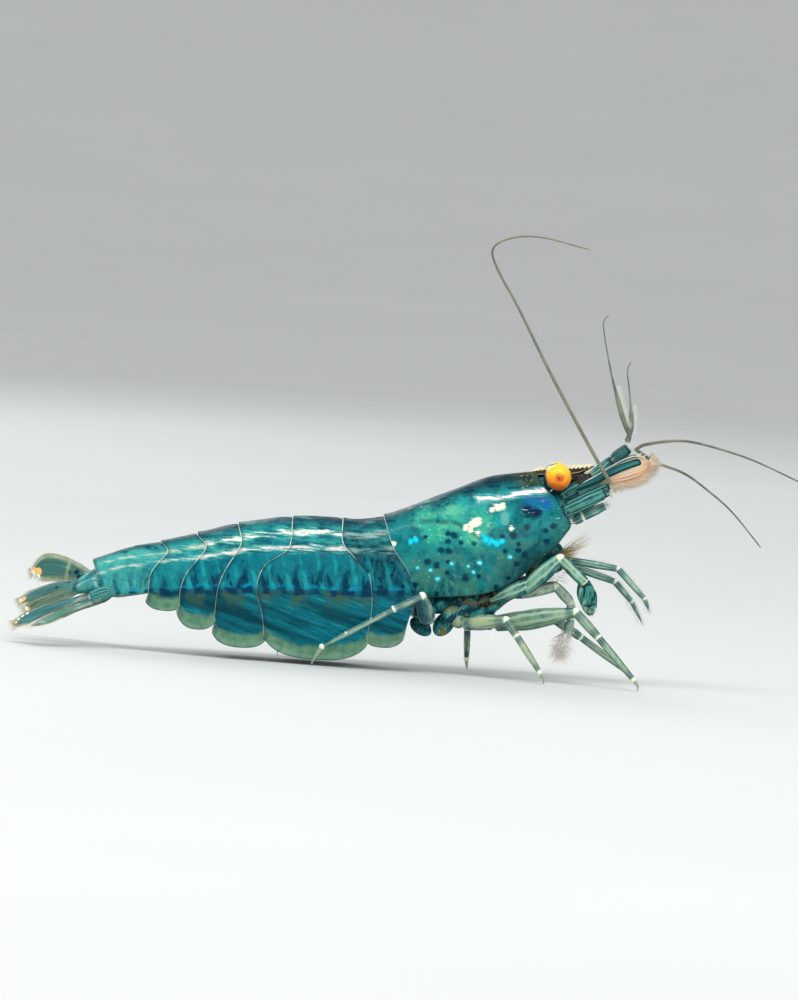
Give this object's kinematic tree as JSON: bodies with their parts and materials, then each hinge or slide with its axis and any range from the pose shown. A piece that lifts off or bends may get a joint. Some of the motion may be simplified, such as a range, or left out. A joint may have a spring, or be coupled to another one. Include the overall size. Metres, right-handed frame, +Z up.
{
  "type": "shrimp",
  "caption": "Life-size still model of a blue tiger shrimp with orange eyes, standing on its walking legs with its feelers raised and its tail fan spread",
  "frame": {"origin": "middle of the object's box seen from above, on the floor that the feet stand on", "axes": "+X towards the head, +Y towards the animal's left side, +Z up"},
  "size_m": [0.0397, 0.0109, 0.0223],
  "materials": {
    "shell": "glossy, thin translucent shell over teal-blue flesh, spotted dark",
    "beak": "glossy golden brown, paler at the teeth",
    "underside": "wet dark blue-green with olive translucent lumps",
    "eye": "glossy orange-yellow ball with a dark middle",
    "limb": "glossy translucent blue-grey with white joints",
    "feeler": "satin grey-green, ringed pale and dark",
    "fin": "glossy translucent green-blue with clear edges and orange tips",
    "swimmer": "glossy translucent teal with dark stripes"
  },
  "bodies": {
    "root": {"carapace": "shell", "abdomen_1": "shell", "abdomen_2": "shell", "abdomen_3": "shell", "abdomen_4": "shell", "abdomen_5": "shell", "abdomen_6": "shell", "rostrum": "beak", "sternum": "underside", "mouthparts": "underside", "eyestalk_right": "underside", "eyestalk_left": "underside", "eye_right": "eye", "eye_left": "eye", "leg_1_right": "limb", "leg_1_left": "limb", "leg_2_right": "limb", "leg_2_left": "limb", "leg_3_right": "limb", "leg_3_left": "limb", "leg_4_right": "limb", "leg_4_left": "limb", "leg_5_right": "limb", "leg_5_left": "limb", "maxilliped_right": "limb", "maxilliped_left": "limb", "palp_right": "limb", "palp_left": "limb", "antennule_right": "limb", "antennule_left": "limb", "antenna_base_right": "limb", "antenna_base_left": "limb", "antenna_right": "feeler", "antenna_left": "feeler", "antennule_outer_right": "feeler", "antennule_outer_left": "feeler", "antennule_inner_right": "feeler", "antennule_inner_left": "feeler", "telson": "fin", "uropod_inner_right": "fin", "uropod_inner_left": "fin", "uropod_outer_right": "fin", "uropod_outer_left": "fin", "antenna_scale_right": "fin", "antenna_scale_left": "fin", "pleopod_1_right": "swimmer", "pleopod_1_left": "swimmer", "pleopod_2_right": "swimmer", "pleopod_2_left": "swimmer", "pleopod_3_right": "swimmer", "pleopod_3_left": "swimmer", "pleopod_4_right": "swimmer", "pleopod_4_left": "swimmer", "pleopod_5_right": "swimmer", "pleopod_5_left": "swimmer"}
  },
  "joints": []
}
